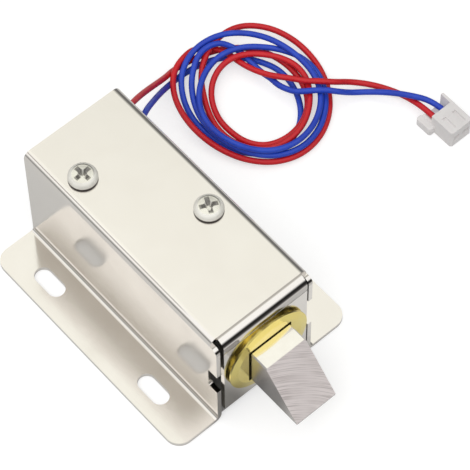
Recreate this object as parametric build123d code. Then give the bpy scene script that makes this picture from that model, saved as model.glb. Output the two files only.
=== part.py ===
from build123d import *
import math
import os

# Solenoid lock: a folded hat-shaped bracket round an open-frame solenoid, with a
# spring-returned slanted bolt, a round guide bush and a two-wire lead with a plug.
# Millimetres. The origin is the centre of the four mounting slots on the mounting plane.
# +X points out of the latch end, +Y towards the side the leads leave, +Z away from the door.

# Driving dimensions of the bracket
SHEET = 0.9
BODY_WIDTH = 22.6
BODY_HEIGHT = 27.4
BODY_LENGTH = 53.6
FLANGE_SPAN = 41.9
SLOTS_BEHIND_MIDDLE = 0.8
WALL_SETBACK = 0.3
TOP_BEND_OUTER = 1.5
FLANGE_BEND_VISIBLE = 0.7
FRONT_BEND_OUTER = 2.0
FLANGE_CORNER = 3.0
SLOT_LENGTH = 7.3
SLOT_WIDTH = 3.5
SLOT_SPACING_X = 30.0
SLOT_OUTSET = 0.125
PANEL_BOTTOM = 3.2
WALL_CORNER = 1.3
NOTCH_DEPTH = 2.4
LEFT_NOTCH = (-3.95, 1.75)
RIGHT_NOTCH = (-4.55, 3.95)
NOTCH_CORNER = 0.5
LEAD_NOTCH_LENGTH = 8.8
LEAD_NOTCH = (2.05, 8.05)
LEAD_NOTCH_CORNER = 1.2

# Screws that hold the solenoid under the top
SCREW_MAJOR = 3.0
SCREW_LENGTH = 4.0
SCREW_HEAD = 5.6
SCREW_HEAD_HEIGHT = 1.6
SCREW_HEAD_EDGE = 0.65
RECESS_SPAN = 3.1
RECESS_WING = 0.8
RECESS_DEPTH = 1.2
SCREW_END_MARGIN = 6.0
SCREW_EDGE = 2.15
SCREW_TURNS = {"front_screw": -25.0, "rear_screw": 4.0}
SCREW_CLEARANCE = 0.1
THREAD_CLEARANCE = 0.05

# The axis shared by bolt, bush, plunger and coil
AXIS_ABOVE_MIDDLE = 1.15

# Guide bush
BUSH_SHOULDER = 1.9
BUSH_FLANGE = 1.15
BUSH_NECK = 0.5
BUSH_NECK_STEP = 1.1
BUSH_SLOPE = 0.3
BUSH_FACE_STEP = 1.6
SLEEVE_RADIUS = 7.2
SLEEVE_LENGTH = 3.6
SLEEVE_FIT = 0.05
LIP_RADIUS = 7.9
LIP_LENGTH = 0.8
BUSH_GAP_Y = 0.35
BUSH_GAP_Z = 0.5
BUSH_HOLE_CORNER = 0.4

# Latch bolt
STROKE = 10.0
BOLT_WIDTH = 9.3
BOLT_HEIGHT = 9.5
BOLT_FLAT_REACH = 5.3
BOLT_TIP_REACH = 13.6
BOLT_TIP_LAND = 0.45
BOLT_EDGE = 0.25
COLLAR_GAP = 0.2
COLLAR_LENGTH = 1.7
COLLAR_SIZE = 12.4
COLLAR_CORNER = 1.0
TANG_STEP = 1.5
TANG_LENGTH = 8.0
TANG_FIT = 0.05
PIN_RADIUS = 1.0
PIN_BEHIND_FRONT = 0.6
PIN_RECESS = 0.2

# Solenoid
YOKE_SHEET = 1.5
YOKE_SETBACK = 5.0
STOP_GAP = 0.1
YOKE_SIDE_GAP = 1.9
YOKE_STEP = 2.0
YOKE_ARM_DROP = 8.45
YOKE_ARM_CORNER = 3.0
YOKE_BEND_OUTER = 2.0
ARM_STEP_DROP = 3.9
PLUNGER_SHARE = 5 / 12
RUNNING_FIT = 0.08
LINER_WALL = 0.32
LINER_FIT = 0.08
CORE_LENGTH = 10.0
CORE_SPIGOT_SHARE = 0.5
RIVET_HEAD_RADIUS = 3.4
RIVET_HEAD = 0.9
BOBBIN_TUBE_WALL = 0.8
BOBBIN_FLANGE = 1.2
COIL_SIDE_GAP = 0.8
COIL_TOP_GAP = 0.55
WINDING_MARGIN = 0.9
TAPE_THICKNESS = 0.2
AIR_GAP = 10.3
CUSHION_WIDTH = 1.3
CUSHION_HOLE_GAP = 0.5
CUSHION_THICKNESS = 1.0
SPRING_WIRE = 0.5
SPRING_POCKET_GAP = 0.9
SPRING_TURNS = 8
SPRING_POCKET_WALL = 1.1
SPRING_LENGTH = 21.0
SPRING_SEAT_DEPTH = 1.0

# Leads
WIRE = 1.2
SLEEVING_RADIUS = 0.85
SLEEVING_FROM_YOKE = 8.6
SLEEVING_LENGTH = 6.0
SLEEVING_GAP = 0.1
RED_ANGLE = 40.0
BLUE_ANGLE = 25.0
COIL_CENTRE = (-20.4, 40.0)
COIL_OUTER = 16.9
COIL_INNER = 8.6
COIL_HEIGHT = 3.7
COIL_EDGE = 1.2

# Connector
PLUG_X = (4.3, 12.5)
PLUG_ENTRY_X = 6.9
PLUG_Y = (60.9, 66.3)
PLUG_HEIGHT = 4.6
PLUG_FLOOR = 1.3
PLUG_CHEEK = 0.6
LOW_CHEEK_TOP = 2.0
RAIL_X = (4.0, 7.9)
RAIL_WIDTH = 1.3
RAIL_HEIGHT = 1.9
PIN_PITCH = 2.5
CAVITY = 1.5
CAVITY_Z = 2.1
CONTACT = 1.3
CONTACT_WALL = 0.2
CONTACT_END = 0.8
WIRE_IN_PLUG = 1.2
WINDOW_X = (8.7, 11.7)
WINDOW_WIDTH = 0.9
WINDOW_DEPTH = 0.5

# Worked-out sizes
FRONT_X = BODY_LENGTH / 2 + SLOTS_BEHIND_MIDDLE
BACK_X = FRONT_X - BODY_LENGTH
HALF_WIDTH = BODY_WIDTH / 2
AXIS_Z = BODY_HEIGHT / 2 + AXIS_ABOVE_MIDDLE
SLOT_Y = (HALF_WIDTH + FLANGE_SPAN / 2) / 2 + SLOT_OUTSET
INNER_Y = HALF_WIDTH - SHEET
TOP_UNDERSIDE = BODY_HEIGHT - SHEET
FLAT_Y = HALF_WIDTH - TOP_BEND_OUTER
WALL_FRONT_X = FRONT_X - WALL_SETBACK
PANEL_INNER_X = FRONT_X - SHEET
BUSH_FRONT_X = FRONT_X + BUSH_FLANGE
HOLE_Y = BOLT_WIDTH / 2 + BUSH_GAP_Y
HOLE_Z = BOLT_HEIGHT / 2 + BUSH_GAP_Z
SLEEVE_BACK_X = FRONT_X - SLEEVE_LENGTH
BOLT_FLAT_X = FRONT_X + BOLT_FLAT_REACH
BOLT_TIP_X = FRONT_X + BOLT_TIP_REACH
PIN_X = FRONT_X - PIN_BEHIND_FRONT
COLLAR_FRONT_X = SLEEVE_BACK_X - COLLAR_GAP
BOLT_BACK_X = COLLAR_FRONT_X - COLLAR_LENGTH
BUSH_RADIUS = SLEEVE_RADIUS + BUSH_SHOULDER
YOKE_TOP = TOP_UNDERSIDE
YOKE_BACK_X = BACK_X + YOKE_SETBACK
YOKE_FRONT_X = BOLT_BACK_X - STROKE - CUSHION_THICKNESS - STOP_GAP
YOKE_WEB_HALF = INNER_Y - YOKE_SIDE_GAP
YOKE_ARM_HALF = YOKE_WEB_HALF - YOKE_STEP
SCREW_MIDDLE_X = (YOKE_BACK_X + YOKE_FRONT_X) / 2
SCREW_Y = YOKE_WEB_HALF - SCREW_EDGE
SCREW_SPACING = YOKE_FRONT_X - YOKE_BACK_X - 2 * SCREW_END_MARGIN
SCREW_PLACES = {
    "front_screw": (SCREW_MIDDLE_X + SCREW_SPACING / 2, SCREW_Y),
    "rear_screw": (SCREW_MIDDLE_X - SCREW_SPACING / 2, -SCREW_Y),
}
BOBBIN_BACK_X = YOKE_BACK_X + YOKE_SHEET
BOBBIN_FRONT_X = YOKE_FRONT_X - YOKE_SHEET
ROOM_AT_SIDE = INNER_Y - COIL_SIDE_GAP
ROOM_AT_TOP = YOKE_TOP - YOKE_SHEET - AXIS_Z - COIL_TOP_GAP
BOBBIN_FLANGE_RADIUS = min(ROOM_AT_SIDE, ROOM_AT_TOP)
PLUNGER_RADIUS = PLUNGER_SHARE * BOBBIN_FLANGE_RADIUS
TANG_RADIUS = PLUNGER_RADIUS - TANG_STEP
CORE_SPIGOT_RADIUS = CORE_SPIGOT_SHARE * PLUNGER_RADIUS
SPRING_POCKET_RADIUS = PLUNGER_RADIUS - SPRING_POCKET_WALL
SPRING_RADIUS = SPRING_POCKET_RADIUS - SPRING_POCKET_GAP
CUSHION_HOLE_RADIUS = PLUNGER_RADIUS + CUSHION_HOLE_GAP
CUSHION_RADIUS = CUSHION_HOLE_RADIUS + CUSHION_WIDTH
SLEEVING_X = (YOKE_BACK_X + SLEEVING_FROM_YOKE, YOKE_BACK_X + SLEEVING_FROM_YOKE + SLEEVING_LENGTH)
CORE_FRONT_X = BOBBIN_BACK_X + CORE_LENGTH
PLUNGER_BACK_X = CORE_FRONT_X + AIR_GAP
LINER_BORE = PLUNGER_RADIUS + RUNNING_FIT
LINER_RADIUS = LINER_BORE + LINER_WALL
BOBBIN_BORE = LINER_RADIUS + LINER_FIT
BOBBIN_TUBE = BOBBIN_BORE + BOBBIN_TUBE_WALL
WINDING_RADIUS = BOBBIN_FLANGE_RADIUS - WINDING_MARGIN
TAPE_RADIUS = WINDING_RADIUS + TAPE_THICKNESS
SPRING_BACK_X = CORE_FRONT_X - SPRING_SEAT_DEPTH
SPRING_FRONT_X = SPRING_BACK_X + SPRING_LENGTH

os.makedirs("parts", exist_ok=True)


def save(shape, name):
    """Write one named piece and print what it is made of."""
    shape.label = name
    export_step(shape, f"parts/{name}.step")
    box = shape.bounding_box()
    print(name, "volume", round(shape.volume, 2), "low", box.min, "high", box.max)
    return shape


def block(x, y, z):
    """A box between pairs of limits along each axis."""
    centre = ((x[0] + x[1]) / 2, (y[0] + y[1]) / 2, (z[0] + z[1]) / 2)
    return Pos(*centre) * Box(x[1] - x[0], y[1] - y[0], z[1] - z[0])


def rod(x0, x1, radius, y=0.0, z=AXIS_Z):
    """A round bar along X."""
    return Pos((x0 + x1) / 2, y, z) * Rot(0, 90, 0) * Cylinder(radius, x1 - x0)


def ring(x0, x1, outer, inner):
    """A round tube along X on the shared axis."""
    return rod(x0, x1, outer) - rod(x0 - 1, x1 + 1, inner)


def rounded_block(x, half_y, half_z, corner, z=AXIS_Z):
    """A bar along X with a rounded rectangular section."""
    section = Plane.YZ.offset(x[0]) * Pos(0, z) * RectangleRounded(2 * half_y, 2 * half_z, corner)
    return extrude(section, x[1] - x[0])


def fold_section():
    """Half outline of the hat section, mirrored, from flange tip over the top to the other tip."""
    out = FLANGE_SPAN / 2
    big = FLANGE_BEND_VISIBLE + SHEET
    outer = Polyline((out, SHEET), (HALF_WIDTH + FLANGE_BEND_VISIBLE, SHEET))
    outer += RadiusArc(outer @ 1, (HALF_WIDTH, SHEET + FLANGE_BEND_VISIBLE), FLANGE_BEND_VISIBLE)
    outer += Line((HALF_WIDTH, SHEET + FLANGE_BEND_VISIBLE), (HALF_WIDTH, BODY_HEIGHT - TOP_BEND_OUTER))
    outer += RadiusArc((HALF_WIDTH, BODY_HEIGHT - TOP_BEND_OUTER), (FLAT_Y, BODY_HEIGHT), -TOP_BEND_OUTER)
    outer += Line((FLAT_Y, BODY_HEIGHT), (0, BODY_HEIGHT))
    small = TOP_BEND_OUTER - SHEET
    outer += Line((0, BODY_HEIGHT), (0, TOP_UNDERSIDE))
    outer += Line((0, TOP_UNDERSIDE), (FLAT_Y, TOP_UNDERSIDE))
    outer += RadiusArc((FLAT_Y, TOP_UNDERSIDE), (INNER_Y, TOP_UNDERSIDE - small), small)
    outer += Line((INNER_Y, TOP_UNDERSIDE - small), (INNER_Y, big))
    outer += RadiusArc((INNER_Y, big), (INNER_Y + big, 0), -big)
    outer += Line((INNER_Y + big, 0), (out, 0))
    outer += Line((out, 0), (out, SHEET))
    return make_face(outer.edges())


def wall_notch(edge_x, side, limits, depth, corner):
    """Cutter for a notch in one wall, open at the wall's end; limits are heights from the axis."""
    outline = RectangleRounded(2 * depth, limits[1] - limits[0], corner)
    cutter = Rot(90, 0, 0) * extrude(outline, SHEET, both=True)
    return Pos(edge_x, side * (HALF_WIDTH - SHEET / 2), AXIS_Z + sum(limits) / 2) * cutter


def bracket():
    """The sheet-metal body: hat section, front panel folded down, slots, notches and holes."""
    half = extrude(Plane.YZ.offset(BACK_X) * fold_section(), WALL_FRONT_X - BACK_X)
    body = half + mirror(half, Plane.XZ)
    relief_x = FRONT_X - FRONT_BEND_OUTER
    top_zone = (BODY_HEIGHT - TOP_BEND_OUTER, BODY_HEIGHT + 1)
    body -= block((relief_x, FRONT_X + 1), (-HALF_WIDTH - 1, HALF_WIDTH + 1), top_zone)
    inner = FRONT_BEND_OUTER - SHEET
    low = BODY_HEIGHT - FRONT_BEND_OUTER
    fold = Polyline((relief_x, BODY_HEIGHT), (relief_x, TOP_UNDERSIDE))
    fold += RadiusArc((relief_x, TOP_UNDERSIDE), (PANEL_INNER_X, low), inner)
    fold += Polyline((PANEL_INNER_X, low), (PANEL_INNER_X, PANEL_BOTTOM), (FRONT_X, PANEL_BOTTOM), (FRONT_X, low))
    fold += RadiusArc((FRONT_X, low), (relief_x, BODY_HEIGHT), -FRONT_BEND_OUTER)
    panel = extrude(Plane.XZ * make_face(fold.edges()), FLAT_Y, both=True)
    body += panel

    for side in (-1, 1):
        corner_zone = (HALF_WIDTH + FLANGE_BEND_VISIBLE + 1, FLANGE_SPAN / 2 + 1)
        picked = [
            e
            for e in body.edges().filter_by(Axis.Z)
            if corner_zone[0] < side * e.center().Y < corner_zone[1] and e.length < 2 * SHEET
        ]
        body = fillet(picked, FLANGE_CORNER)
        picked = [
            e
            for e in body.edges().filter_by(Axis.Y)
            if abs(e.center().X - WALL_FRONT_X) < 0.01
            and abs(e.center().Z - (BODY_HEIGHT - TOP_BEND_OUTER)) < 0.01
            and side * e.center().Y > INNER_Y
        ]
        body = fillet(picked, WALL_CORNER)
        for place_x in (-SLOT_SPACING_X / 2, SLOT_SPACING_X / 2):
            slot = extrude(SlotOverall(SLOT_LENGTH, SLOT_WIDTH), SHEET + 2)
            body -= Pos(place_x, side * SLOT_Y, -1) * slot

    body -= wall_notch(WALL_FRONT_X, -1, LEFT_NOTCH, NOTCH_DEPTH, NOTCH_CORNER)
    body -= wall_notch(WALL_FRONT_X, 1, RIGHT_NOTCH, NOTCH_DEPTH, NOTCH_CORNER)
    body -= wall_notch(BACK_X, 1, LEAD_NOTCH, LEAD_NOTCH_LENGTH, LEAD_NOTCH_CORNER)
    body -= rod(PANEL_INNER_X - 1, FRONT_X + 1, SLEEVE_RADIUS + SLEEVE_FIT)
    for x, y in SCREW_PLACES.values():
        body -= Pos(x, y, BODY_HEIGHT) * Cylinder(SCREW_MAJOR / 2 + SCREW_CLEARANCE, 4 * SHEET)
    return body


def screw(x, y, turn):
    """A pan-head machine screw with a cross recess, its tip inside the yoke's web."""
    r = SCREW_HEAD / 2
    top = SCREW_HEAD_HEIGHT
    profile = Line((0, -SCREW_LENGTH), (SCREW_MAJOR / 2 - THREAD_CLEARANCE - 0.3, -SCREW_LENGTH))
    shank = SCREW_MAJOR / 2 - THREAD_CLEARANCE
    profile += Line((shank - 0.3, -SCREW_LENGTH), (shank, -SCREW_LENGTH + 0.3))
    profile += Line((shank, -SCREW_LENGTH + 0.3), (shank, 0))
    profile += Line((shank, 0), (r, 0))
    profile += Line((r, 0), (r, SCREW_HEAD_EDGE))
    profile += ThreePointArc((r, SCREW_HEAD_EDGE), (0.86 * r, 0.81 * top), (0.6 * r, 0.95 * top))
    profile += ThreePointArc((0.6 * r, 0.95 * top), (0.3 * r, 0.985 * top), (0, top))
    profile += Line((0, top), (0, -SCREW_LENGTH))
    body = revolve(Plane.XZ * make_face(profile.edges()), Axis.Z)
    for angle in (0, 90):
        wing = Rectangle(RECESS_SPAN, RECESS_WING)
        tip = Rectangle(RECESS_SPAN * 0.35, RECESS_WING * 0.6)
        cut = loft([Pos(0, 0, top + 0.1) * wing, Pos(0, 0, top - RECESS_DEPTH) * tip])
        body -= Rot(0, 0, angle) * cut
    body -= Pos(0, 0, top - RECESS_DEPTH / 2 + 0.1) * Cone(0.35, 0.95, RECESS_DEPTH)
    return Pos(x, y, BODY_HEIGHT) * Rot(0, 0, turn) * body


def guide_bush():
    """Round flanged bush with a rectangular hole, its sleeve rolled over behind the panel."""
    body = rod(SLEEVE_BACK_X, BUSH_FRONT_X, SLEEVE_RADIUS)
    body += rod(FRONT_X, FRONT_X + BUSH_NECK, BUSH_RADIUS - BUSH_NECK_STEP)
    flange = rod(FRONT_X + BUSH_NECK, BUSH_FRONT_X, BUSH_RADIUS)
    rim = flange.edges().filter_by(GeomType.CIRCLE).group_by(Axis.X)[-1]
    body += chamfer(rim, BUSH_SLOPE, BUSH_FACE_STEP)
    body += rod(PANEL_INNER_X - LIP_LENGTH, PANEL_INNER_X, LIP_RADIUS)
    hole = rounded_block((SLEEVE_BACK_X - 1, BUSH_FRONT_X + 1), HOLE_Y, HOLE_Z, BUSH_HOLE_CORNER)
    return body - hole


def latch_bolt():
    """Square bar with the slanted latch face, a stop collar at its back and a bore for the plunger."""
    low = AXIS_Z - BOLT_HEIGHT / 2
    high = AXIS_Z + BOLT_HEIGHT / 2
    side_view = Polyline(
        (BOLT_BACK_X, low),
        (BOLT_TIP_X, low),
        (BOLT_TIP_X, low + BOLT_TIP_LAND),
        (BOLT_FLAT_X, high),
        (BOLT_BACK_X, high),
        close=True,
    )
    body = extrude(Plane.XZ * make_face(side_view.edges()), BOLT_WIDTH / 2, both=True)
    long_edges = [e for e in body.edges().filter_by(Axis.X)]
    body = chamfer(long_edges, BOLT_EDGE)
    half = COLLAR_SIZE / 2
    body += rounded_block((BOLT_BACK_X, COLLAR_FRONT_X), half, half, COLLAR_CORNER)
    body -= rod(BOLT_BACK_X - 1, BOLT_BACK_X + TANG_LENGTH + TANG_FIT, TANG_RADIUS + TANG_FIT)
    body -= Pos(PIN_X, 0, AXIS_Z) * Rot(90, 0, 0) * Cylinder(PIN_RADIUS + TANG_FIT, 2 * BOLT_WIDTH)
    return body


def plunger():
    """Moving core: drilled at the back for the spring, stepped down at the front into the bolt."""
    body = rod(PLUNGER_BACK_X, BOLT_BACK_X, PLUNGER_RADIUS)
    body = chamfer(body.edges().filter_by(GeomType.CIRCLE).group_by(Axis.X)[0], 0.4)
    body += rod(BOLT_BACK_X, BOLT_BACK_X + TANG_LENGTH, TANG_RADIUS)
    body -= rod(PLUNGER_BACK_X - 1, SPRING_FRONT_X, SPRING_POCKET_RADIUS)
    body -= Pos(PIN_X, 0, AXIS_Z) * Rot(90, 0, 0) * Cylinder(PIN_RADIUS + TANG_FIT, 2 * BOLT_WIDTH)
    return body


def yoke():
    """C-shaped iron frame: web under the top, a narrower arm at each end of the coil."""
    bend = YOKE_BEND_OUTER
    inner = bend - YOKE_SHEET
    z1 = YOKE_TOP
    z0 = AXIS_Z - YOKE_ARM_DROP
    xa, xb = YOKE_BACK_X, YOKE_FRONT_X
    outline = Line((xa, z0), (xa, z1 - bend))
    outline += RadiusArc((xa, z1 - bend), (xa + bend, z1), bend)
    outline += Line((xa + bend, z1), (xb - bend, z1))
    outline += RadiusArc((xb - bend, z1), (xb, z1 - bend), bend)
    outline += Polyline((xb, z1 - bend), (xb, z0), (xb - YOKE_SHEET, z0), (xb - YOKE_SHEET, z1 - bend))
    outline += RadiusArc((xb - YOKE_SHEET, z1 - bend), (xb - bend, z1 - YOKE_SHEET), -inner)
    outline += Line((xb - bend, z1 - YOKE_SHEET), (xa + bend, z1 - YOKE_SHEET))
    outline += RadiusArc((xa + bend, z1 - YOKE_SHEET), (xa + YOKE_SHEET, z1 - bend), -inner)
    outline += Polyline((xa + YOKE_SHEET, z1 - bend), (xa + YOKE_SHEET, z0), (xa, z0))
    body = extrude(Plane.XZ * make_face(outline.edges()), YOKE_WEB_HALF, both=True)
    for side in (-1, 1):
        y = sorted((side * YOKE_ARM_HALF, side * 2 * YOKE_WEB_HALF))
        body -= block((xa - 1, xb + 1), y, (z0 - 1, z1 - ARM_STEP_DROP))
    bottoms = [
        e
        for e in body.edges().filter_by(Axis.X)
        if abs(e.center().Z - z0) < 0.01 and e.length < 2 * YOKE_SHEET
    ]
    body = fillet(bottoms, YOKE_ARM_CORNER)
    body -= rod(xb - 3 * YOKE_SHEET, xb + 1, LINER_RADIUS + LINER_FIT)
    body -= rod(xa - 1, xa + 3 * YOKE_SHEET, CORE_SPIGOT_RADIUS + LINER_FIT)
    for x, y in SCREW_PLACES.values():
        body -= Pos(x, y, z1) * Cylinder(SCREW_MAJOR / 2, 4 * YOKE_SHEET)
    return body


def fixed_core():
    """Iron plug in the back half of the coil, riveted through the yoke's rear arm."""
    body = rod(BOBBIN_BACK_X, CORE_FRONT_X, PLUNGER_RADIUS)
    body += rod(YOKE_BACK_X, BOBBIN_BACK_X, CORE_SPIGOT_RADIUS)
    head = rod(YOKE_BACK_X - RIVET_HEAD, YOKE_BACK_X, RIVET_HEAD_RADIUS)
    outer = head.edges().filter_by(GeomType.CIRCLE).group_by(Axis.X)[0]
    body += fillet(outer, 0.6 * RIVET_HEAD)
    return body - rod(SPRING_BACK_X, CORE_FRONT_X + 1, SPRING_POCKET_RADIUS)


def bobbin():
    """Plastic spool: tube and two round flanges, the rear one cut away where the leads pass."""
    body = ring(BOBBIN_BACK_X, BOBBIN_FRONT_X, BOBBIN_TUBE, BOBBIN_BORE)
    for x in (BOBBIN_BACK_X, BOBBIN_FRONT_X - BOBBIN_FLANGE):
        body += ring(x, x + BOBBIN_FLANGE, BOBBIN_FLANGE_RADIUS, BOBBIN_BORE)
    lead_y = lead_start(RED_ANGLE)[1] - WIRE / 2 - 0.3
    lead_z = lead_start(BLUE_ANGLE)[2] - WIRE / 2 - 0.3
    zone_x = (BOBBIN_BACK_X - 1, BOBBIN_BACK_X + BOBBIN_FLANGE + 0.01)
    body -= block(zone_x, (lead_y, BOBBIN_FLANGE_RADIUS + 1), (lead_z, YOKE_TOP))
    return body


def return_spring():
    """Compression spring between the fixed core and the bottom of the plunger's bore."""
    run = SPRING_LENGTH - SPRING_WIRE
    path = Helix(run / SPRING_TURNS, run, SPRING_RADIUS, center=(0, 0, 0), direction=(0, 0, 1))
    section = Plane(origin=path @ 0, z_dir=path % 0) * Circle(SPRING_WIRE / 2)
    wire = sweep(section, path=path, is_frenet=True)
    return Pos(SPRING_BACK_X + SPRING_WIRE / 2, 0, AXIS_Z) * Rot(0, 90, 0) * wire


def lead_start(angle):
    """Where a lead leaves its sleeving, lying on the coil's tape."""
    reach = TAPE_RADIUS + SLEEVING_RADIUS + SLEEVING_GAP
    turn = math.radians(angle)
    return (SLEEVING_X[0], reach * math.cos(turn), AXIS_Z + reach * math.sin(turn))


def bend_radii(points):
    """A bend radius for each corner that leaves a little straight wire between bends."""
    radii = []
    for a, b, c in zip(points, points[1:], points[2:]):
        one = Vector(*b) - Vector(*a)
        two = Vector(*c) - Vector(*b)
        half_turn = math.radians(one.get_angle(two)) / 2
        radii.append(0.45 * min(one.length, two.length) / math.tan(half_turn))
    return radii


def lead(points, name):
    """A round wire along straight runs joined by arcs."""
    radii = bend_radii(points)
    path = FilletPolyline(*points, radius=radii)
    tube = sweep(Plane(origin=path @ 0, z_dir=path % 0) * Circle(WIRE / 2), path=path)
    expected = path.length * math.pi * WIRE**2 / 4
    print(name, "length", round(path.length, 2), "radii", [round(r, 1) for r in radii])
    print(name, "volume share", round(tube.volume / expected, 4))
    return tube


def lead_coil():
    """Outer shape of the loose coil of both leads, lying flat."""
    base = Circle(COIL_OUTER) - Circle(COIL_INNER)
    body = extrude(base, COIL_HEIGHT)
    rims = body.edges().filter_by(GeomType.CIRCLE)
    return Pos(COIL_CENTRE[0], COIL_CENTRE[1], 0) * chamfer(rims, COIL_EDGE)


def connector():
    """Two-way plug: full-height front, low back with cheeks round the wires, one side rail."""
    body = block(PLUG_X, PLUG_Y, (0, PLUG_HEIGHT))
    ends = body.edges().filter_by(Axis.Z).sort_by(Axis.X)[-2:]
    body = chamfer(ends, 0.4)
    y0, y1 = PLUG_Y
    channel_x = (PLUG_X[0] - 1, PLUG_ENTRY_X)
    body -= block(channel_x, (y0 + PLUG_CHEEK, y1 - PLUG_CHEEK), (PLUG_FLOOR, PLUG_HEIGHT + 1))
    body -= block(channel_x, (y0 - 1, y0 + PLUG_CHEEK + 0.1), (LOW_CHEEK_TOP, PLUG_HEIGHT + 1))
    body += block(RAIL_X, (y0 - RAIL_WIDTH, y0), (0, RAIL_HEIGHT))
    rail_ends = [e for e in body.edges().filter_by(Axis.Z) if abs(e.center().Y - (y0 - RAIL_WIDTH)) < 0.01]
    body = fillet(rail_ends, 0.5)
    for y in contact_rows():
        half = CAVITY / 2
        cavity_z = (CAVITY_Z - half, CAVITY_Z + half)
        body -= block((PLUG_ENTRY_X - 1, PLUG_X[1] + 1), (y - half, y + half), cavity_z)
        top = (PLUG_HEIGHT - WINDOW_DEPTH, PLUG_HEIGHT + 1)
        body -= block(WINDOW_X, (y - WINDOW_WIDTH / 2, y + WINDOW_WIDTH / 2), top)
    return body


def contact_rows():
    """Y places of the two contacts, red first."""
    middle = (PLUG_Y[0] + PLUG_Y[1]) / 2
    return (middle - PIN_PITCH / 2, middle + PIN_PITCH / 2)


def contact(y):
    """Crimped socket contact: a square box with an open front round a closed back."""
    half = CONTACT / 2
    x0 = PLUG_ENTRY_X + WIRE_IN_PLUG
    x1 = PLUG_X[1] - CONTACT_END
    z = (CAVITY_Z - half, CAVITY_Z + half)
    body = block((x0, x1), (y - half, y + half), z)
    inner = half - CONTACT_WALL
    hollow_z = (CAVITY_Z - inner, CAVITY_Z + inner)
    return body - block((x0 + 1.2, x1 + 1), (y - inner, y + inner), hollow_z)


save(bracket(), "mounting_bracket")
for screw_name, (screw_x, screw_y) in SCREW_PLACES.items():
    save(screw(screw_x, screw_y, SCREW_TURNS[screw_name]), screw_name)
save(guide_bush(), "guide_bush")
save(latch_bolt(), "latch_bolt")
save(plunger(), "plunger")
pin_length = BOLT_WIDTH - 2 * PIN_RECESS
save(Pos(PIN_X, 0, AXIS_Z) * Rot(90, 0, 0) * Cylinder(PIN_RADIUS, pin_length), "bolt_pin")
save(return_spring(), "return_spring")
save(yoke(), "solenoid_yoke")
save(fixed_core(), "fixed_core")
save(ring(BOBBIN_BACK_X, YOKE_FRONT_X, LINER_RADIUS, LINER_BORE), "bore_liner")
save(bobbin(), "coil_bobbin")
wound_x = (BOBBIN_BACK_X + BOBBIN_FLANGE, BOBBIN_FRONT_X - BOBBIN_FLANGE)
save(ring(wound_x[0], wound_x[1], WINDING_RADIUS, BOBBIN_TUBE), "coil_winding")
save(ring(wound_x[0], wound_x[1], TAPE_RADIUS, WINDING_RADIUS), "coil_tape")
cushion_x = (YOKE_FRONT_X, YOKE_FRONT_X + CUSHION_THICKNESS)
save(ring(cushion_x[0], cushion_x[1], CUSHION_RADIUS, CUSHION_HOLE_RADIUS), "cushion_washer")

for colour, angle in (("red", RED_ANGLE), ("blue", BLUE_ANGLE)):
    _, y, z = lead_start(angle)
    save(rod(SLEEVING_X[0], SLEEVING_X[1], SLEEVING_RADIUS, y, z), f"{colour}_lead_sleeve")

red_y, blue_y = contact_rows()
plug_end_x = PLUG_ENTRY_X + WIRE_IN_PLUG
red_exit = [
    lead_start(RED_ANGLE),
    (BACK_X + 5.6, HALF_WIDTH - 3.65, AXIS_Z + 6.25),
    (BACK_X + 1.7, HALF_WIDTH + 0.1, AXIS_Z + 5.65),
    (BACK_X - 1.6, HALF_WIDTH + 4.6, AXIS_Z + 1.45),
    (-31.5, 23.2, 8.8),
    (-34.9, 30.4, 0.9),
    (-33.6, 37.6, 0.7),
]
blue_exit = [
    lead_start(BLUE_ANGLE),
    (BACK_X + 8.0, HALF_WIDTH - 2.3, AXIS_Z + 4.15),
    (BACK_X + 4.1, HALF_WIDTH + 1.6, AXIS_Z + 3.35),
    (BACK_X + 1.4, HALF_WIDTH + 5.1, AXIS_Z + 0.35),
    (-29.0, 22.5, 8.0),
    (-33.0, 28.6, 0.9),
    (-31.2, 36.2, 0.7),
]
red_tail = [
    (-18.3, 48.2, 1.6),
    (-12.2, 54.9, 1.0),
    (-6.9, 60.0, 0.7),
    (-1.0, 62.9, 0.7),
    (3.8, red_y, CAVITY_Z),
    (plug_end_x, red_y, CAVITY_Z),
]
blue_tail = [
    (-15.6, 47.2, 2.2),
    (-10.2, 53.2, 1.4),
    (-4.9, 59.2, 2.0),
    (-0.9, 62.0, 2.6),
    (3.6, blue_y, CAVITY_Z),
    (plug_end_x, blue_y, CAVITY_Z),
]
save(lead(red_exit, "red_lead_exit"), "red_lead_exit")
save(lead(blue_exit, "blue_lead_exit"), "blue_lead_exit")
save(lead_coil(), "lead_coil")
save(lead(red_tail, "red_lead_tail"), "red_lead_tail")
save(lead(blue_tail, "blue_lead_tail"), "blue_lead_tail")
save(connector(), "connector_housing")
save(contact(red_y), "red_contact")
save(contact(blue_y), "blue_contact")
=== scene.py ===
# %% [markdown]
# # A solenoid lock, dressed for its picture
# The lock is one folded steel bracket with a pulling magnet inside, a slanted bolt in a
# gold bush, and two thin leads that lie in a loose coil and end in a white plug.
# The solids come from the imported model, already in place and in metres. This lesson adds
# what a solid can't say: how light falls on plated steel, and how thin wire lies.

# %% Load the frame
import math
import bpy
import numpy as np
from mathutils import Matrix, Vector


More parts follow.
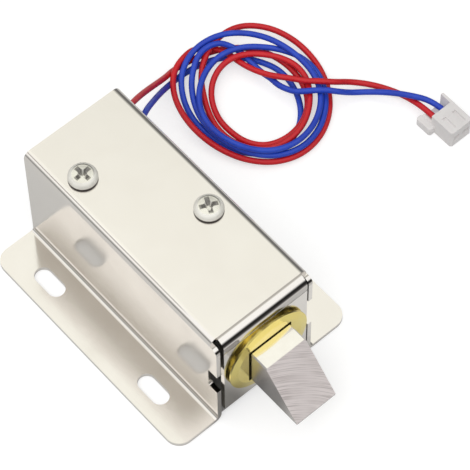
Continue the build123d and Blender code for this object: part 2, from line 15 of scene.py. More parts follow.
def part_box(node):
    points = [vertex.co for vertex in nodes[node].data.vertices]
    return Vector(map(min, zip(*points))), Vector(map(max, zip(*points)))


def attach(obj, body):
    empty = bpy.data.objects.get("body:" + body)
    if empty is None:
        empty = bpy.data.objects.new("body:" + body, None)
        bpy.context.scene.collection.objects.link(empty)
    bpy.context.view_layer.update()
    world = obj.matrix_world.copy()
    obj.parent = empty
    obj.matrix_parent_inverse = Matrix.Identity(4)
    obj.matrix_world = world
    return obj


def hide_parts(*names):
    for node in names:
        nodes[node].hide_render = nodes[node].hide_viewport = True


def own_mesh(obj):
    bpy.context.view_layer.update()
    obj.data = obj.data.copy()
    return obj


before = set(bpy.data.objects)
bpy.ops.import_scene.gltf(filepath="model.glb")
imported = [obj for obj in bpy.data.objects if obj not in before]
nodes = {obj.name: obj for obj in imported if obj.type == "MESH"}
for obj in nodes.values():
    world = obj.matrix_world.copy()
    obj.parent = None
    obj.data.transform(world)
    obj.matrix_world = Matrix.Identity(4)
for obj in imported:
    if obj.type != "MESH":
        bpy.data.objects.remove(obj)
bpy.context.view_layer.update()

MM = 0.001
scene = bpy.context.scene
scene.view_settings.view_transform = "Standard"

# %% [markdown]
# ## The camera
# The picture was taken from high up and far off, with a long lens: parallel edges hardly
# draw together. Two angles say from which side it looks, a small roll levels it, and the
# focal length follows from the picture being 470 pixels wide.

# %% Camera
PICTURE_WIDTH = 470
FOCAL_PIXELS = 2753.87
SENSOR_WIDTH = 36
CAMERA_PLACE = (0.20141, -0.15500, 0.44911)
CAMERA_ANGLES = (49.561, 59.466, -0.784)
turn, lift, roll = (math.radians(a) for a in CAMERA_ANGLES)
back = Vector((math.sin(turn) * math.cos(lift), -math.cos(turn) * math.cos(lift), math.sin(lift)))
level = Vector((math.cos(turn), math.sin(turn), 0))
upright = back.cross(level)
right = level * math.cos(roll) + upright * math.sin(roll)
up = upright * math.cos(roll) - level * math.sin(roll)
lens = bpy.data.cameras.new("camera")
lens.sensor_width = SENSOR_WIDTH
lens.lens = SENSOR_WIDTH * FOCAL_PIXELS / PICTURE_WIDTH
lens.clip_start = 0.01
camera = bpy.data.objects.new("camera", lens)
camera.matrix_world = Matrix((right, up, back)).transposed().to_4x4()
camera.location = CAMERA_PLACE
scene.collection.objects.link(camera)
scene.camera = camera
print("lens", round(lens.lens, 1), "mm")

# %% [markdown]
# ## The two leads
# Each lead is 1.2 mm wire as limp as string. It leaves the winding at the back of the
# bracket, drops to the table, goes round about three times and ends in the plug.
# Its way is told in four legs: the exit, the turns, the stretch that leaves the ring, and
# the tail into the plug.
# A circle repeated three times would look like a spring. Loose wire is told by two numbers
# for each part of a turn: its reach from the middle of the ring, and the height at which it
# rides on the turns below. A loop fills in the points between those stations.

# %% Route points outside the ring, in mm
RING = (-20.4, 40.0)
red_exit = [
    (-12.4, 7.546, 21.182), (-20.4, 7.65, 21.1), (-24.9, 11.6, 20.2), (-27.8, 16.8, 16.0),
    (-31.4, 23.0, 9.3), (-34.2, 28.4, 3.8)]
blue_exit = [
    (-12.4, 8.927, 19.013), (-18.0, 9.0, 19.0), (-21.6, 11.9, 18.6), (-24.2, 15.8, 16.6),
    (-26.9, 19.4, 12.6), (-30.7, 24.3, 6.4), (-33.3, 28.4, 2.0)]
red_tail = [
    (-10.8, 55.9, 1.6), (-8.2, 58.8, 0.8), (-4.7, 60.9, 0.7), (-1.1, 62.3, 0.7), (3.8, 62.35, 2.1),
    (8.1, 62.35, 2.1)]
blue_tail = [
    (-8.8, 54.1, 1.8), (-7.2, 56.8, 1.2), (-4.2, 59.3, 2.0), (-0.5, 61.6, 3.0), (3.6, 64.85, 2.1),
    (8.1, 64.85, 2.1)]
print("points in exits and tails:", [len(leg) for leg in (red_exit, blue_exit, red_tail, blue_tail)])

# %% Stations of the turns: angle in degrees, reach and height in mm
red_turns = [
    (-154, 17.3, 0.7), (-165, 15.5, 0.7), (-200, 12.7, 0.7), (-240, 10.3, 0.8), (-260, 9.6, 0.9),
    (-281, 9.3, 1.1), (-300, 9.5, 1.3), (-360, 11.1, 1.9), (-380, 11.6, 1.8), (-400, 11.5, 1.5),
    (-419, 10.2, 1.4), (-438, 9.2, 1.4), (-478, 8.6, 1.8), (-540, 9.2, 3.0), (-560, 9.1, 3.2),
    (-580, 8.8, 3.0), (-600, 9.0, 2.8), (-641, 10.4, 2.5), (-660, 10.2, 2.5), (-679, 10.3, 2.7),
    (-700, 11.0, 2.9), (-721, 12.1, 2.8), (-741, 12.8, 2.3), (-760, 12.6, 1.8), (-798, 10.8, 1.4),
    (-818, 10.1, 1.4), (-837, 9.8, 1.6), (-858, 10.3, 2.0), (-879, 12.1, 2.5), (-894, 13.2, 3.0),
    (-909, 14.5, 3.3), (-924, 16.4, 2.3), (-940, 16.8, 1.7), (-981, 14.6, 1.1), (-1001, 14.0, 1.0),
    (-1020, 14.0, 0.9), (-1040, 14.3, 0.9), (-1080, 15.5, 0.9), (-1100, 15.5, 1.0),
    (-1140, 14.1, 1.4), (-1159, 13.9, 1.8), (-1178, 14.3, 2.3), (-1198, 15.3, 2.9),
    (-1219, 16.6, 3.3), (-1236, 16.9, 3.1), (-1248, 16.3, 2.5)]
red_leave = [
    (-1256, 15.6, 1.9), (-1264, 14.1, 1.7), (-1271, 11.6, 1.9), (-1279, 8.1, 1.9),
    (-1294, 5.7, 2.4), (-1317, 4.6, 2.9), (-1346, 4.9, 3.3), (-1369, 7.3, 3.6), (-1380, 9.7, 3.9),
    (-1383, 12.4, 4.1), (-1385, 15.2, 3.9)]
blue_turns = [
    (-152, 15.4, 0.7), (-165, 13.8, 0.7), (-180, 12.2, 0.7), (-220, 8.6, 0.7), (-260, 7.7, 0.7),
    (-280, 7.5, 0.7), (-300, 7.7, 0.7), (-320, 8.4, 0.7), (-340, 9.7, 0.7), (-368, 11.9, 0.7),
    (-382, 12.7, 0.7), (-398, 12.9, 0.7), (-432, 12.3, 0.7), (-448, 12.5, 0.9), (-474, 13.5, 1.4),
    (-512, 15.4, 3.0), (-526, 15.5, 3.5), (-538, 15.2, 3.9), (-550, 14.6, 4.2), (-580, 13.0, 3.7),
    (-601, 11.8, 3.6), (-621, 11.3, 3.4), (-640, 11.5, 3.1), (-659, 12.2, 2.8), (-679, 12.5, 2.7),
    (-740, 14.3, 3.3), (-760, 13.8, 3.6), (-779, 12.9, 3.7), (-859, 10.8, 3.4), (-900, 10.7, 3.6),
    (-920, 10.6, 3.5), (-940, 10.4, 3.1), (-960, 11.0, 2.4), (-980, 12.1, 2.1), (-1000, 12.8, 2.0),
    (-1040, 13.5, 1.9), (-1080, 14.9, 2.0), (-1098, 14.9, 2.1), (-1115, 14.2, 2.3),
    (-1144, 12.7, 2.4), (-1159, 12.2, 2.3), (-1174, 12.0, 2.2), (-1204, 12.2, 2.5),
    (-1218, 12.6, 2.7), (-1245, 13.8, 3.6)]
blue_leave = [
    (-1256, 13.8, 4.2), (-1267, 13.3, 3.9), (-1276, 12.2, 2.8), (-1285, 10.3, 2.0),
    (-1294, 7.7, 1.7), (-1312, 5.5, 1.7), (-1339, 4.8, 1.9), (-1362, 4.6, 2.3), (-1381, 5.5, 2.8),
    (-1393, 7.6, 3.3), (-1393, 10.4, 3.9), (-1392, 13.2, 4.0), (-1393, 15.7, 3.8)]
print("stations:", len(red_turns + red_leave), "red and", len(blue_turns + blue_leave), "blue")

# %% From stations to points
STEP = 20


def on_ring(angle, reach, height):
    """x = middle + reach * cos(angle), y = middle + reach * sin(angle), z = height."""
    angle = np.radians(angle)
    x, y = RING[0] + reach * np.cos(angle), RING[1] + reach * np.sin(angle)
    return np.column_stack([x, y, height])


def wind(stations):
    """Points about every STEP degrees, with reach and height blended between the stations.
    A smooth line runs inside its control points, so the reach grows by a share that makes up for it."""
    angle, reach, height = np.array(stations, dtype=float).T
    count = round((angle[0] - angle[-1]) / STEP) + 1
    way = np.linspace(angle[0], angle[-1], count)
    swell = 1 / math.cos(math.radians(STEP / 2))
    return on_ring(way, np.interp(-way, -angle, reach) * swell, np.interp(-way, -angle, height))


def spots(stations):
    """The stations themselves as points, for the stretch that leaves the ring."""
    return on_ring(*np.array(stations, dtype=float).T)


print("a point about every", STEP, "degrees")

# %% A lead as one smooth line
LEAD_DIAMETER = 1.2


def lead_line(name, legs):
    """A NURBS curve with the legs' points in a row as its control points, and a round section."""
    points = np.vstack(legs) * MM
    curve = bpy.data.curves.new(name, "CURVE")
    curve.dimensions = "3D"
    spline = curve.splines.new("NURBS")
    spline.points.add(len(points) - 1)
    spline.points.foreach_set("co", np.column_stack([points, np.ones(len(points))]).ravel())
    spline.points.foreach_set("radius", np.full(len(points), LEAD_DIAMETER / 2 * MM))
    spline.order_u = 3
    spline.use_endpoint_u = True
    spline.resolution_u = 6
    curve.bevel_depth = 1.0
    curve.bevel_resolution = 5
    curve.use_fill_caps = True
    lead = bpy.data.objects.new(name, curve)
    scene.collection.objects.link(lead)
    print(name, len(points), "points")
    return lead


red_lead = lead_line("red_lead", [red_exit, wind(red_turns), spots(red_leave), red_tail])
blue_lead = lead_line("blue_lead", [blue_exit, wind(blue_turns), spots(blue_leave), blue_tail])

# %% Tell the frame what the leads are
for lead, colour, length, points in (
        (red_lead, "red", 0.3347, red_exit), (blue_lead, "blue", 0.3343, blue_exit)):
    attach(lead, "housing")
    print(colour, "lead", round(length / MM, 1), "mm long")
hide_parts("red_lead_exit", "red_lead_tail", "lead_coil")
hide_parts("blue_lead_exit", "blue_lead_tail")

# %% [markdown]
# ## Floor and light
# The picture has a plain white ground, so the floor and the sky show white to the camera,
# and the floor lends a share of that white to glossy rays.
# Plated sheet shows no colour of its own, only the room. The picture's bends tell what the
# room was: a wide white ceiling, grey where it ends, near black low down in front of the
# lock and behind its right side, and a white table. The sky below is that room.

# %% Shader helpers: nodes and arithmetic
WHITE = (1, 1, 1, 1)


def fresh(name):
    """A new material with an empty node tree; returns both."""
    material = bpy.data.materials.new(name)
    material.use_nodes = True
    material.node_tree.nodes.clear()
    return material, material.node_tree


def node(tree, kind, inputs=None, **settings):
    """Adds a node, sets its settings, then its inputs: a socket is linked, anything else is a value."""
    made = tree.nodes.new(kind)
    for key, value in settings.items():
        setattr(made, key, value)
    for key, value in (inputs or {}).items():
        if isinstance(value, bpy.types.NodeSocket):
            tree.links.new(value, made.inputs[key])
        else:
            made.inputs[key].default_value = value
    return made


def math_node(tree, operation, first, second=0.5, clamp=False):
    """One step of arithmetic; returns the result socket. ABSOLUTE reads only the first value."""
    made = node(tree, "ShaderNodeMath", {0: first, 1: second}, operation=operation, use_clamp=clamp)
    return made.outputs[0]


def times(tree, first, *others):
    """The product of all the values."""
    for other in others:
        first = math_node(tree, "MULTIPLY", first, other)
    return first


def larger(tree, first, second, clamp=False):
    """The larger of two values."""
    return math_node(tree, "MAXIMUM", first, second, clamp)


def ramp(tree, value, low, high, out_low=0.0, out_high=1.0, kind="SMOOTHSTEP"):
    """Turns value between low and high into out_low to out_high, held beyond both ends."""
    inputs = {0: value, 1: low, 2: high, 3: out_low, 4: out_high}
    return node(tree, "ShaderNodeMapRange", inputs, interpolation_type=kind).outputs[0]


def blend(tree, share, first, second):
    """A number that goes evenly from first at share 0 to second at share 1."""
    return ramp(tree, share, 0.0, 1.0, first, second, kind="LINEAR")


print("arithmetic for node trees: math_node, times, larger, ramp, blend")


# %% Shader helpers: places, noise and colours
def vector_node(tree, operation, first, second=(0, 0, 0)):
    """One step of vector arithmetic; a product, distance or length comes out as a number."""
    made = node(tree, "ShaderNodeVectorMath", {0: first, 1: second}, operation=operation)
    return made.outputs["Value" if operation in ("DOT_PRODUCT", "DISTANCE", "LENGTH") else "Vector"]


def coordinates(tree, kind="Object"):
    """A point's place in the frame in metres, or with "Normal" the way its surface faces."""
    return node(tree, "ShaderNodeTexCoord").outputs[kind]


def split(tree, vector):
    """The X, Y and Z of a vector, by name."""
    return node(tree, "ShaderNodeSeparateXYZ", {0: vector}).outputs


def join(tree, x, y, z):
    """A vector made of three numbers."""
    return node(tree, "ShaderNodeCombineXYZ", {0: x, 1: y, 2: z}).outputs[0]


def turned(tree, vector, angle):
    """The vector turned about the upright axis."""
    inputs = {"Vector": vector, "Angle": angle}
    return node(tree, "ShaderNodeVectorRotate", inputs, rotation_type="Z_AXIS").outputs[0]


def noise(tree, place, size, detail, **more):
    """Smooth noise round 0.5; a larger size gives smaller patches."""
    inputs = {"Vector": place, "Scale": size, "Detail": detail, **more}
    return node(tree, "ShaderNodeTexNoise", inputs).outputs["Fac"]


def mix_colour(tree, share, first, second):
    """A colour that goes from first at share 0 to second at share 1."""
    return node(tree, "ShaderNodeMix", {0: share, 6: first, 7: second}, data_type="RGBA").outputs[2]


def srgb(*screen):
    """A colour as a screen names it (0 to 255), turned into the linear light Blender works in."""
    shares = [c / 255 for c in screen]
    linear = [s / 12.92 if s <= 0.04045 else ((s + 0.055) / 1.055) ** 2.4 for s in shares]
    return (*linear, 1.0)


print("a middle grey of 128 is", round(srgb(128, 128, 128)[0], 3), "in linear light")

# %% Floor
FLOOR_SIZE, FLOOR_DROP = 4.0, 0.0001
WALL_Y = 0.0112  # just inside the outer faces of the bracket's walls
PANEL_DEPTH = 0.0012  # just behind the front panel


def level_sheet(name, low, high, height, corners):
    """A level rectangle between two corners; the order of its corners says which side is its face."""
    mesh = bpy.data.meshes.new(name)
    mesh.from_pydata(
        [(low[0], low[1], height), (high[0], low[1], height),
         (high[0], high[1], height), (low[0], high[1], height)], [], [corners])
    made = bpy.data.objects.new(name, mesh)
    scene.collection.objects.link(made)
    return made


corner = FLOOR_SIZE / 2
floor = level_sheet("floor", (-corner, -corner), (corner, corner), -FLOOR_DROP, (0, 1, 2, 3))
floor_paint, tree = fresh("floor_white")
floor.data.materials.append(floor_paint)
place = coordinates(tree)
spot = split(tree, place)
low_corner, high_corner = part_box("mounting_bracket")
# Painted shadow: in a box under the bracket the floor gets no glow.
under_x = times(
    tree, math_node(tree, "GREATER_THAN", spot["X"], low_corner[0]),
    math_node(tree, "LESS_THAN", spot["X"], high_corner[0] - PANEL_DEPTH))
under_y = math_node(tree, "LESS_THAN", math_node(tree, "ABSOLUTE", spot["Y"]), WALL_Y)
open_floor = math_node(tree, "SUBTRACT", 1.0, times(tree, under_x, under_y))
print("floor", FLOOR_SIZE, "m wide; no glow under the bracket")

# %% [markdown]
# The metal mirrors the floor, and in the picture it mirrors an uneven one. So glossy rays
# see only a share of the glow, more of it in front of the panel's right side, none far in
# front of the lock, and a painted shadow, a grey spot, at the foot of the panel.

# %% What the metal sees of the floor
FLOOR_GLOW = 0.55
FLOOR_PALE, FLOOR_DARK = (0.55, 0.55, 0.55, 1), (0.10, 0.10, 0.10, 1)
MIRRORED, MIRRORED_MORE = 0.12, 0.26
GREY_SPOT, SPOT_SHARE = (0.0295, -0.0080, 0.0), 0.66
ray = node(tree, "ShaderNodeLightPath").outputs
glossy = ray["Is Glossy Ray"]
front_right = times(tree, ramp(tree, spot["Y"], -0.006, 0.003), ramp(tree, spot["X"], 0.027, 0.030))
share = math_node(tree, "ADD", MIRRORED, times(tree, front_right, MIRRORED_MORE))
seen = larger(tree, ray["Is Camera Ray"], times(tree, glossy, share))
far_front = times(tree, ramp(tree, spot["X"], 0.05, 0.13), glossy)
# Painted shadow: a grey spot on the floor at the foot of the panel, seen only in the metal.
near_spot = ramp(tree, vector_node(tree, "DISTANCE", place, GREY_SPOT), 0.002, 0.007, SPOT_SHARE, 0.0)
shade = larger(tree, far_front, times(tree, glossy, near_spot))
lit = times(tree, seen, open_floor, math_node(tree, "SUBTRACT", 1.0, shade), FLOOR_GLOW)
matte = node(tree, "ShaderNodeBsdfDiffuse", {"Color": mix_colour(tree, shade, FLOOR_PALE, FLOOR_DARK)})
glow = node(tree, "ShaderNodeEmission", {"Color": WHITE, "Strength": lit})
both = node(tree, "ShaderNodeAddShader", {0: matte.outputs[0], 1: glow.outputs[0]})
node(tree, "ShaderNodeOutputMaterial", {"Surface": both.outputs[0]})
print("share of the glow in the metal:", MIRRORED, "and", round(MIRRORED + MIRRORED_MORE, 2), "at the right")

# %% Sky
BEHIND, LEFT = (-0.47, 0.88, 0), (-0.42, -0.91, 0)  # headings of two sides of the room
OVERHEAD = (-0.387, 0.330, 0.861)  # what the lock's top mirrors to the camera
LOW_LIGHT, LEFT_LIGHT, BEHIND_LIGHT, CEILING_LIGHT = 0.05, 0.28, 0.12, 1.05
CREAM = (1.0, 1.0, 0.94, 1)
world = bpy.data.worlds.new("studio")
scene.world = world
world.use_nodes = True
tree = world.node_tree
tree.nodes.clear()
direction = coordinates(tree, "Generated")
heading = vector_node(tree, "NORMALIZE", vector_node(tree, "MULTIPLY", direction, (1, 1, 0)))
behind, left = (vector_node(tree, "DOT_PRODUCT", heading, side) for side in (BEHIND, LEFT))
edge = math_node(tree, "SUBTRACT", split(tree, direction)["Z"], ramp(tree, behind, 0.3, 1.0, 0.0, 0.34))
low_light = math_node(tree, "ADD", LOW_LIGHT, times(tree, larger(tree, left, 0.0), LEFT_LIGHT))
low_light = math_node(tree, "ADD", low_light, times(tree, larger(tree, behind, 0.0), BEHIND_LIGHT))
level = blend(tree, ramp(tree, edge, 0.22, 0.60), low_light, CEILING_LIGHT)
creamy = ramp(tree, vector_node(tree, "DOT_PRODUCT", direction, OVERHEAD), 0.80, 0.97)
sky = node(tree, "ShaderNodeBackground", {"Color": mix_colour(tree, creamy, WHITE, CREAM), "Strength": level})
white = node(tree, "ShaderNodeBackground", {"Color": WHITE, "Strength": 1.0})
to_eye = node(tree, "ShaderNodeLightPath").outputs["Is Camera Ray"]
pick = node(tree, "ShaderNodeMixShader", {0: to_eye, 1: sky.outputs[0], 2: white.outputs[0]})
node(tree, "ShaderNodeOutputWorld", {"Surface": pick.outputs[0]})
print("ceiling", CEILING_LIGHT, "bright, low sky", LOW_LIGHT, "to", round(LOW_LIGHT + LEFT_LIGHT, 2))

# %% Lamp
LAMP_PLACE, LAMP_TARGET = Vector((0.20, -0.30, 0.60)), Vector((0, 0.01, 0.01))
LAMP_SIZE, LAMP_POWER = 0.30, 1.2
lamp = bpy.data.lights.new("key_light", "AREA")
lamp.shape = "SQUARE"
lamp.size = LAMP_SIZE
lamp.energy = LAMP_POWER
holder = bpy.data.objects.new("key_light", lamp)
holder.location = LAMP_PLACE
holder.rotation_euler = (LAMP_TARGET - LAMP_PLACE).to_track_quat("-Z", "Y").to_euler()
holder.visible_glossy = False
scene.collection.objects.link(holder)
print("one soft lamp,", LAMP_SIZE, "m wide, that the metal doesn't mirror")

# %% [markdown]
# A narrow grey card above the left foot is seen only in the metal. It darkens the foot
# beside the wall and leaves the wall bright, as in the picture.

# %% Grey card
CARD_LOW, CARD_HIGH, CARD_Z = (-0.0560, -0.0343), (0.0020, -0.0240), 0.060
CARD_COLOUR, CARD_GLOW = (1.0, 0.94, 0.86, 1), 0.46
card = level_sheet("grey_card", CARD_LOW, CARD_HIGH, CARD_Z, (0, 3, 2, 1))
for kind_of_ray in ("visible_camera", "visible_diffuse", "visible_transmission", "visible_shadow"):
    setattr(card, kind_of_ray, False)
card_paint, tree = fresh("grey_card")
card.data.materials.append(card_paint)
glow = node(tree, "ShaderNodeEmission", {"Color": CARD_COLOUR, "Strength": CARD_GLOW})
node(tree, "ShaderNodeOutputMaterial", {"Surface": glow.outputs[0]})
print("grey card", CARD_Z / MM, "mm up")

# %% [markdown]
# ## Shared effects
# Every metal here was rolled, plated and handled. Three small effects say so, and each is
# a node group with its own dials, so that a material only chooses how strong it is:
# cloudy patches of handling, faint long scratches, and a slow ripple of the sheet.

# %% Effect groups
def group(name, dials, label):
    """A shader node group with number inputs and one output. Returns the tree, its inputs and its end."""
    tree = bpy.data.node_groups.new(name, "ShaderNodeTree")
    for dial_name, value in dials.items():
        socket = tree.interface.new_socket(dial_name, in_out="INPUT", socket_type="NodeSocketFloat")
        socket.default_value = value
    tree.interface.new_socket(label, in_out="OUTPUT", socket_type="NodeSocketFloat")
    start = tree.nodes.new("NodeGroupInput")
    end = tree.nodes.new("NodeGroupOutput")
    return tree, start.outputs, end.inputs[label]


def use(tree, effect, **dials):
    """Places an effect group in a material; dials that aren't named keep the group's own value."""
    made = tree.nodes.new("ShaderNodeGroup")
    made.node_tree = effect
    for key, value in dials.items():
        made.inputs[key].default_value = value
    return made.outputs[0]


handling, dial, result = group("handling", {"Size": 90.0}, "Cloud")
cloud = noise(handling, coordinates(handling), dial["Size"], 5.0, Roughness=0.62, Distortion=0.4)
handling.links.new(ramp(handling, cloud, 0.32, 0.70, kind="LINEAR"), result)

scratches, dial, result = group("scratches", {"Size": 700.0, "Stretch": 0.04, "Turn": 0.3}, "Line")
squeeze = join(scratches, dial["Stretch"], 1.0, 1.0)
pulled = vector_node(scratches, "MULTIPLY", turned(scratches, coordinates(scratches), dial["Turn"]), squeeze)
streak = noise(scratches, pulled, dial["Size"], 3.0, Roughness=0.7)
scratches.links.new(ramp(scratches, streak, 0.60, 0.74, kind="LINEAR"), result)

ripple, dial, result = group("ripple", {"Size": 40.0}, "Height")
ripple.links.new(noise(ripple, coordinates(ripple), dial["Size"], 1.5, Roughness=0.4), result)
print("effects:", [g.name for g in (handling, scratches, ripple)])

# %% [markdown]
# ## Metals
# All the metals share one recipe: a base tone that clouds a little with handling, a
# roughness that rises in the clouds and along scratches, and a very shallow bump. What
# differs is the colour, the polish, how far the sheet ripples, and where painted shade and painted dark
# reflections sit.

# %% One recipe for plated metal
# The dark colour of the painted shade and painted dark reflections.
PAINTED_DARK = srgb(64, 52, 50)


def surface(tree, tint, rough, relief, others):
    """Ends a material with its surface shader; relief is the height of its bump in metres."""
    bump = node(tree, "ShaderNodeBump", {"Strength": 1.0, "Distance": 1.0, "Height": relief})
    inputs = {"Base Color": tint, "Roughness": rough, "Normal": bump.outputs[0], **others}
    shader = node(tree, "ShaderNodeBsdfPrincipled", inputs)
    node(tree, "ShaderNodeOutputMaterial", {"Surface": shader.outputs[0]})


def metal(name, colour, dull, polish, worn, cloud_size=90.0, ripple_size=40.0,
          ripple_depth=0.0, scratch_depth=0.0, ridge=None, painted_darkness=None):
    """colour to dull by clouds; roughness from polish to worn by clouds and scratches; depths in metres.
    ridge gives a height to add to the bump, grime the share of painted shade and painted dark reflection on
    each point."""
    material, tree = fresh(name)
    cloud = use(tree, handling, Size=cloud_size)
    line = use(tree, scratches)
    wave = use(tree, ripple, Size=ripple_size)
    tint = mix_colour(tree, times(tree, cloud, 0.6), colour, dull)
    # Painted shade and painted dark reflections: the tint goes towards that dark colour where the mask asks.
    if painted_darkness:
        tint = mix_colour(tree, painted_darkness(tree), tint, PAINTED_DARK)
    marks = math_node(tree, "ADD", times(tree, cloud, 0.7), times(tree, line, 0.3))
    relief = math_node(tree, "SUBTRACT", times(tree, wave, ripple_depth), times(tree, line, scratch_depth))
    if ridge:
        relief = math_node(tree, "ADD", relief, ridge(tree))
    surface(tree, tint, blend(tree, marks, polish, worn), relief, {"Metallic": 1.0})
    return material


def dress(material, *names):
    """Gives the material to these solids."""
    for name in names:
        slots = nodes[name].material_slots
        if not slots:
            nodes[name].data.materials.append(material)
        for one in slots:
            one.material = material


print("metal recipe ready; grime is", [round(c, 3) for c in PAINTED_DARK[:3]])

# %% [markdown]
# The press left a fine raised line across the front panel, just under its bend. Painted dark
# reflections sit in two lines along that bend: a thin one where it starts and a broad one where
# it ends, with a trace of them down to the pressed line. Where the bend is, the way the sheet
# faces says: straight up on top, straight forward on the panel.

# %% Bracket sheet
LINE_Z, LINE_HALF, LINE_HEIGHT = 0.0241, 0.00022, 0.00016
PANEL_X, BEND_X = 0.0274, 0.0255  # the panel's outer face and the bend lie in front of these


def pressed_line(tree):
    """Height of a low ridge at LINE_Z on the front panel, in metres."""
    spot = split(tree, coordinates(tree))
    off = math_node(tree, "ABSOLUTE", math_node(tree, "SUBTRACT", spot["Z"], LINE_Z))
    in_front = math_node(tree, "GREATER_THAN", spot["X"], PANEL_X)
    return times(tree, in_front, ramp(tree, off, 0.0, LINE_HALF, LINE_HEIGHT, 0.0))


def bend_painted_reflection(tree):
    """Share of painted dark reflection on the front bend; forward is 0 on top and 1 on the panel."""
    spot = split(tree, coordinates(tree))
    forward = split(tree, coordinates(tree, "Normal"))["X"]
    start = times(tree, ramp(tree, forward, 0.03, 0.10), ramp(tree, forward, 0.14, 0.30, 0.55, 0.0))
    end = times(tree, ramp(tree, forward, 0.70, 0.82), ramp(tree, forward, 0.94, 0.985, 0.75, 0.0))
    above_line = ramp(tree, spot["Z"], LINE_Z + 0.0001, LINE_Z + 0.0003, 0.0, 0.34)
    trace = times(tree, ramp(tree, forward, 0.97, 0.99), above_line)
    at_bend = times(
        tree, math_node(tree, "GREATER_THAN", spot["X"], BEND_X),
        math_node(tree, "GREATER_THAN", spot["Z"], LINE_Z))
    return times(tree, at_bend, larger(tree, larger(tree, start, end), trace))


sheet_metal = metal(
    "plated_sheet", srgb(244, 240, 234), srgb(240, 235, 228), 0.10, 0.17, ripple_size=35.0,
    ripple_depth=0.00010, scratch_depth=0.0000004, ridge=pressed_line, painted_darkness=bend_painted_reflection)
dress(sheet_metal, "mounting_bracket")
print("pressed line", round(LINE_Z / MM, 1), "mm up")


# %% Gold bush
def rim_painted_shade(tree):
    """Share of painted shade on the rim of the bush, in patches, where it faces up and not forward."""
    facing = split(tree, coordinates(tree, "Normal"))
    upward = times(tree, ramp(tree, facing["X"], 0.60, 0.92, 1.0, 0.0), ramp(tree, facing["Z"], 0.05, 0.3))
    patches = noise(tree, coordinates(tree), 210.0, 2.0)
    return times(tree, upward, ramp(tree, patches, 0.42, 0.60, 0.08, 0.78))


bush_metal = metal(
    "gold_bush", srgb(248, 232, 142), srgb(243, 219, 117), 0.16, 0.28, cloud_size=160.0, painted_darkness=rim_painted_shade)
dress(bush_metal, "guide_bush")
print("gold bush with a darkened rim")

# %% [markdown]
# ## Screws
# A screw head gets painted shade in its cross and down its side. The cross is found from the
# screw's axis: two bars at right angles, turned as that screw stopped turning.

# %% Screw heads
CROSS_REACH, CROSS_HALF = 0.00165, 0.00040
HEAD_FOOT, HEAD_SHOULDER = 0.02766, 0.02790
# The colour of the painted shade in the screws' crosses and down their sides.
SCREW_SHADE = srgb(60, 53, 51)


def screw_metal(name, axis, angle):
    """Plated steel with painted shade in the cross (two bars through axis, turned by angle) and down the
    head's side.
    """
    material, tree = fresh(name)
    place = coordinates(tree)
    upward = split(tree, coordinates(tree, "Normal"))["Z"]
    offset = vector_node(tree, "SUBTRACT", place, (*axis, 0.0))
    bars = split(tree, turned(tree, offset, -math.radians(angle)))
    along, over = (math_node(tree, "ABSOLUTE", bars[c]) for c in "XY")
    width = math_node(tree, "MINIMUM", along, over)
    length = larger(tree, along, over)
    in_bars = ramp(tree, width, CROSS_HALF, CROSS_HALF + 0.00012, 1, 0)
    cross = times(tree, in_bars, ramp(tree, length, CROSS_REACH, CROSS_REACH + 0.0002, 1, 0))
    past_middle = ramp(tree, length, 0.0003, 0.0007)
    patches = ramp(tree, noise(tree, place, 2600.0, 2.0), 0.25, 0.6, 0.75, 1.0)
    low = ramp(tree, split(tree, place)["Z"], HEAD_FOOT, HEAD_SHOULDER, 1.0, 0.0)
    side = times(tree, ramp(tree, upward, 0.12, 0.34, 1.0, 0.0), low)
    dark = times(tree, cross, past_middle, patches)
    dark = larger(tree, times(tree, dark, 0.72), times(tree, side, 1.25), clamp=True)
    cloud = use(tree, handling, Size=400.0)
    plated = mix_colour(tree, cloud, srgb(242, 240, 232), srgb(230, 227, 218))
    tint = mix_colour(tree, dark, plated, SCREW_SHADE)
    rough = math_node(tree, "ADD", ramp(tree, upward, 0.90, 0.99, 0.42, 0.14), times(tree, cloud, 0.08))
    shine = larger(tree, ramp(tree, upward, 0.86, 0.98, 0.25, 1.0), side)
    surface(tree, tint, rough, times(tree, cloud, 0.000002), {"Metallic": shine})
    return material


dress(screw_metal("plated_front_screw", (0.005, 0.00635), -25), "front_screw")
dress(screw_metal("plated_rear_screw", (-0.015, -0.00635), 4), "rear_screw")
print("cross bars", CROSS_REACH / MM, "mm long each way")

# %% [markdown]
# ## The milled bolt
# The slant was cut by a face mill about 40 mm across, which leaves fine arcs all bent round
# one middle outside the bolt. Distance from that middle is all the pattern needs: noise
# along it gives lines of uneven depth. The long sides were only ground along their length.

# %% Arcs of the mill
SLANT_TOP = (0.0329, 0.0196)
SLANT_ALONG = (0.676, -0.737)
MILL_MIDDLE = (-0.0165, 0.0300)
milled, tree = fresh("milled_bolt")
place = coordinates(tree)
spot = split(tree, place)
facing = split(tree, coordinates(tree, "Normal"))
off_x, off_z = (math_node(tree, "SUBTRACT", spot[axis], top) for axis, top in zip("XZ", SLANT_TOP))
run = math_node(tree, "ADD", times(tree, off_x, SLANT_ALONG[0]), times(tree, off_z, SLANT_ALONG[1]))
across = math_node(tree, "SUBTRACT", spot["Y"], MILL_MIDDLE[0])
down = math_node(tree, "SUBTRACT", run, MILL_MIDDLE[1])
reach = vector_node(tree, "LENGTH", join(tree, across, down, 0.0))
bearing = math_node(tree, "ARCTAN2", down, across)
arc_place = join(tree, times(tree, reach, 1 / MM), times(tree, bearing, 0.5), 0.0)
arcs = ramp(tree, noise(tree, arc_place, 6.5, 1.5, Roughness=0.6), 0.40, 0.62)
fade = ramp(tree, noise(tree, place, 160.0, 2.0), 0.25, 0.65, 0.35, 1.0)
slant = times(tree, ramp(tree, facing["X"], 0.45, 0.55), ramp(tree, facing["Z"], 0.45, 0.55))
ground = use(tree, scratches, Turn=0.0, Stretch=0.03, Size=900.0)
line = blend(tree, slant, ground, times(tree, arcs, fade))
print("milled arcs round", MILL_MIDDLE)

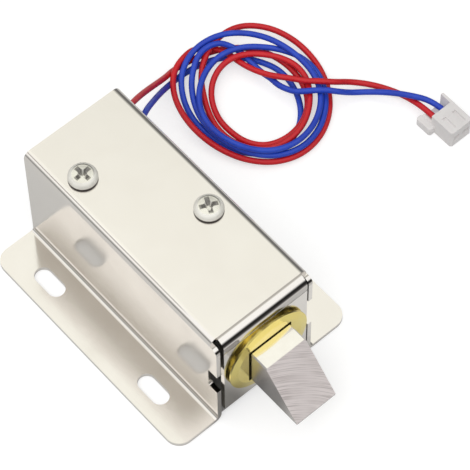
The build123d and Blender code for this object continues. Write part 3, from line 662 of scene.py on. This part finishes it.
# %% Milled bolt
cloud = use(tree, handling, Size=220.0)
upward = facing["Z"]
side_tint = mix_colour(tree, cloud, srgb(224, 220, 217), srgb(206, 201, 198))
flat_tint = mix_colour(tree, cloud, srgb(252, 249, 242), srgb(244, 240, 232))
side_tint = mix_colour(tree, ramp(tree, upward, 0.5, 0.9), side_tint, flat_tint)
slant_tint = mix_colour(tree, line, srgb(252, 243, 241), srgb(214, 204, 201))
tint = mix_colour(tree, slant, side_tint, slant_tint)
rough = blend(tree, slant, ramp(tree, upward, 0.5, 0.9, 0.24, 0.10), 0.50)
relief = times(tree, line, times(tree, slant, -0.000006))
surface(tree, tint, rough, relief, {"Metallic": blend(tree, slant, 1.0, 0.55)})
dress(milled, "latch_bolt")
print("bolt: ground sides, milled slant")

# %% Hidden and small metal pieces
for name, colour, dull, polish, worn, cloud_size, pieces in (
        ("plated_iron", (190, 188, 182), (150, 147, 140), 0.25, 0.45, 150.0,
         ("solenoid_yoke", "fixed_core", "plunger", "bolt_pin")),
        ("spring_wire", (196, 194, 190), (150, 147, 143), 0.18, 0.35, 500.0, ("return_spring",)),
        ("brass_liner", (226, 190, 108), (188, 146, 74), 0.20, 0.40, 200.0, ("bore_liner",)),
        ("tin_contact", (206, 205, 200), (170, 168, 162), 0.25, 0.45, 600.0, ("red_contact", "blue_contact")),
        ("copper_winding", (214, 122, 70), (170, 88, 48), 0.20, 0.40, 300.0, ("coil_winding",))):
    dress(metal(name, srgb(*colour), srgb(*dull), polish, worn, cloud_size), *pieces)
    print(name, "on", *pieces)

# %% [markdown]
# ## Plastics, rubber and tape
# The leads have a smooth vinyl skin with a soft shine. The plug is milky nylon: light goes
# a little way in, and an even painted glow stands in for the light that comes out again.
# Tape, rubber and moulded plastic are duller and each has its own grain.

# %% One recipe for the soft-coloured parts
GRAIN_DEPTH = 0.000004
LIGHT_REACH = (0.002, 0.002, 0.002)


def plastic(name, colour, shade, polish, worn, grain=900.0, soak=0.0, painted_glow=0.0):
    """colour to shade by clouds; roughness from polish to worn; fine grain as bump.
    soak lets light into the skin; milk is an even painted glow in place of the light that comes out again."""
    material, tree = fresh(name)
    cloud = use(tree, handling, Size=160.0)
    tint = mix_colour(tree, cloud, srgb(*colour), srgb(*shade))
    relief = times(tree, use(tree, ripple, Size=grain), GRAIN_DEPTH)
    surface(tree, tint, blend(tree, cloud, polish, worn), relief, {
        "Subsurface Weight": soak, "Subsurface Radius": LIGHT_REACH,
        "Emission Color": tint, "Emission Strength": painted_glow})
    return material


print("grain", round(GRAIN_DEPTH / MM, 3), "mm deep")

# %% Leads, plug and hidden soft pieces
red_skin = plastic("red_insulation", (208, 26, 36), (194, 18, 30), 0.34, 0.46)
red_lead.data.materials.append(red_skin)
dress(red_skin, "red_lead_exit", "red_lead_tail", "lead_coil")
blue_skin = plastic("blue_insulation", (36, 76, 198), (27, 58, 176), 0.34, 0.46)
blue_lead.data.materials.append(blue_skin)
dress(blue_skin, "blue_lead_exit", "blue_lead_tail")
# The plug gets an even painted glow.
nylon = plastic("white_nylon", (206, 203, 202), (194, 191, 190), 0.32, 0.45, soak=0.4, painted_glow=0.26)
dress(nylon, "connector_housing")
bobbin_plastic = plastic("bobbin_plastic", (40, 40, 42), (30, 30, 32), 0.40, 0.55)
dress(bobbin_plastic, "coil_bobbin")
tape = plastic("coil_tape", (206, 176, 60), (190, 156, 46), 0.25, 0.40)
dress(tape, "coil_tape")
rubber = plastic("black_rubber", (34, 34, 34), (26, 26, 26), 0.6, 0.8, grain=1500.0)
dress(rubber, "cushion_washer")
sleeving = plastic("black_sleeving", (30, 30, 30), (22, 22, 22), 0.45, 0.6)
dress(sleeving, "red_lead_sleeve", "blue_lead_sleeve")
soft = (red_skin, blue_skin, nylon, bobbin_plastic, tape, rubber, sleeving)
print("soft materials:", [m.name for m in soft])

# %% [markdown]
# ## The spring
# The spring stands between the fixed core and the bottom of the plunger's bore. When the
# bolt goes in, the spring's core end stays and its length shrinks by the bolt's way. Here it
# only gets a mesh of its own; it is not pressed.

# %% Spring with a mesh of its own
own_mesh(nodes["return_spring"])

# %% The last line
bpy.context.view_layer.update()
